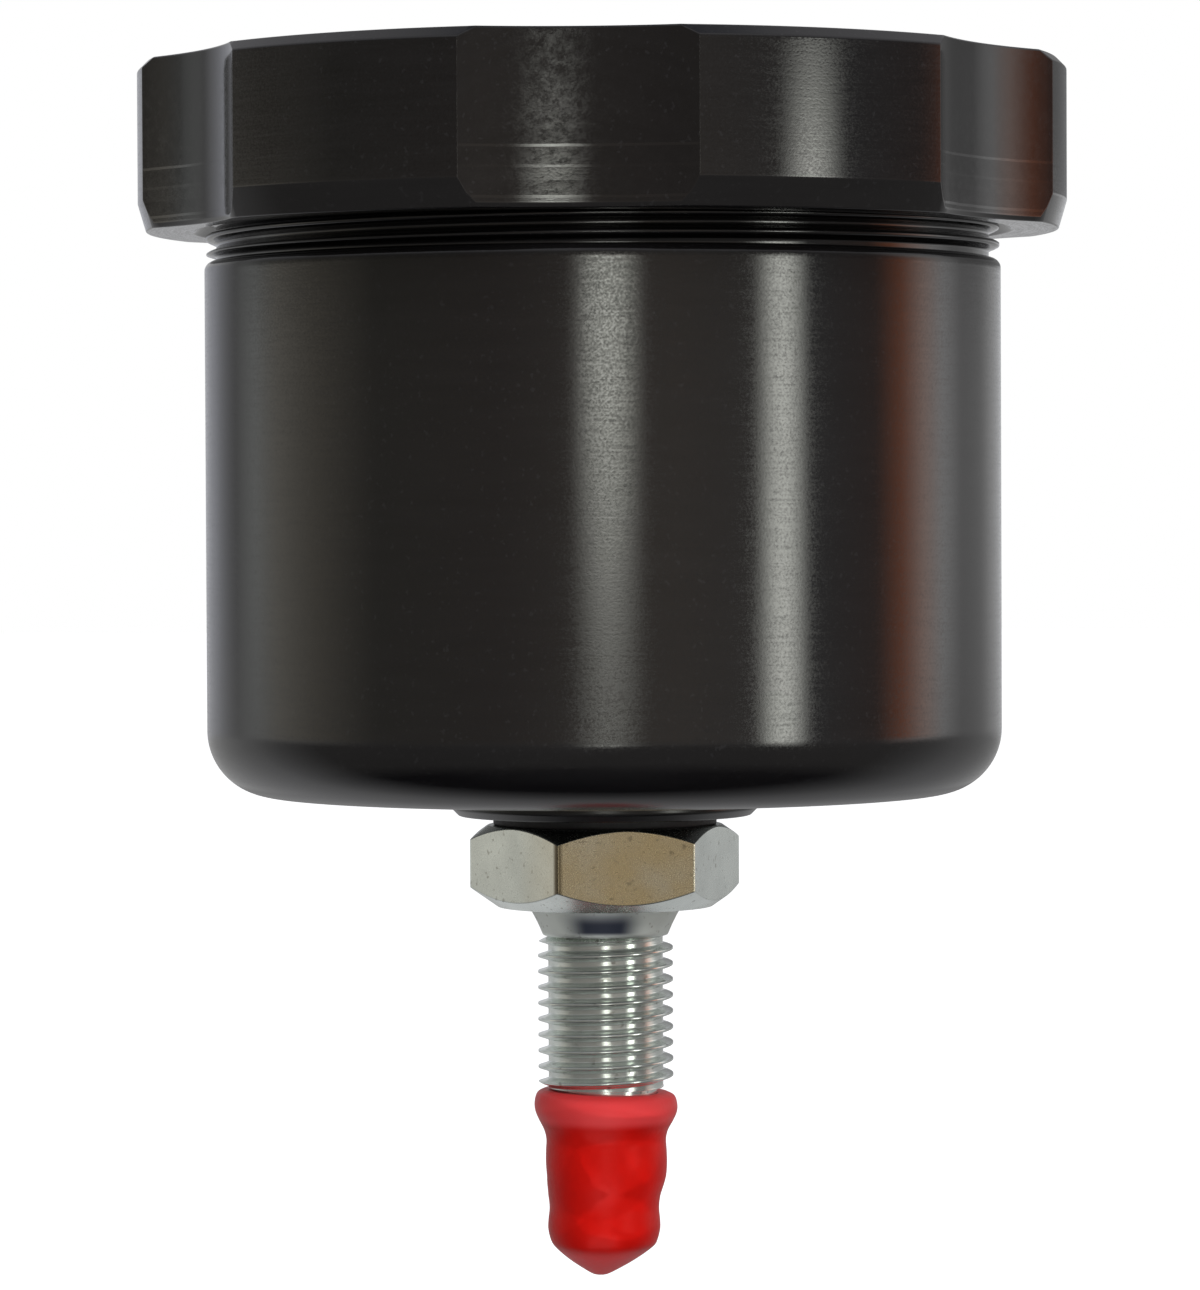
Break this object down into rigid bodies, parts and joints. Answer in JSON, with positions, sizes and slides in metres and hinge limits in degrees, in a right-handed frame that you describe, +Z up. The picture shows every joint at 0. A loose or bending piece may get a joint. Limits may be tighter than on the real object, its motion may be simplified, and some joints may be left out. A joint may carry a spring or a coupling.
{
  "type": "brake fluid reservoir",
  "caption": "Round screw-lid fluid reservoir with a scalloped lid, a folded rubber diaphragm inside and a hex outlet adapter below, closed by a push-on dust cap.",
  "frame": {"origin": "on the turning axis, at the upper end of the outlet thread", "axes": "+Z up along the turning axis, from the outlet to the lid; -Y is the side that the picture shows"},
  "size_m": [0.074, 0.0726, 0.0969],
  "materials": {
    "pot_anodised": "black anodised, fine turning marks, satin",
    "lid_anodised": "black anodised, turned and milled, satin",
    "diaphragm_rubber": "moulded black rubber, matt",
    "adapter_zinc": "zinc plated with a pale yellow tint, satin",
    "seal_rubber": "black rubber, matt",
    "cap_vinyl": "soft red vinyl, semi-gloss"
  },
  "bodies": {
    "pot": {"pot": "pot_anodised", "outlet_adapter": "adapter_zinc", "port_seal": "seal_rubber"},
    "diaphragm": {"diaphragm": "diaphragm_rubber"},
    "lid": {"lid": "lid_anodised"},
    "dust_cap": {"dust_cap": "cap_vinyl"}
  },
  "joints": [
    {"name": "lid_rise", "type": "slide", "parent": "pot", "child": "diaphragm", "axis": [0, 0, 1], "range_m": [0, 0.0092]},
    {"name": "lid_turn", "type": "hinge", "parent": "diaphragm", "child": "lid", "pos_m": [0, 0, 0.0629], "axis": [0, 0, 1], "range_deg": [0, 2340]},
    {"name": "dust_cap_pull", "type": "slide", "parent": "pot", "child": "dust_cap", "axis": [0, 0, -1], "range_m": [0, 0.03]}
  ],
  "couplings": [
    {"joint": "lid_rise", "follows": "lid_turn", "m_per_rad": 0.00022457}
  ]
}
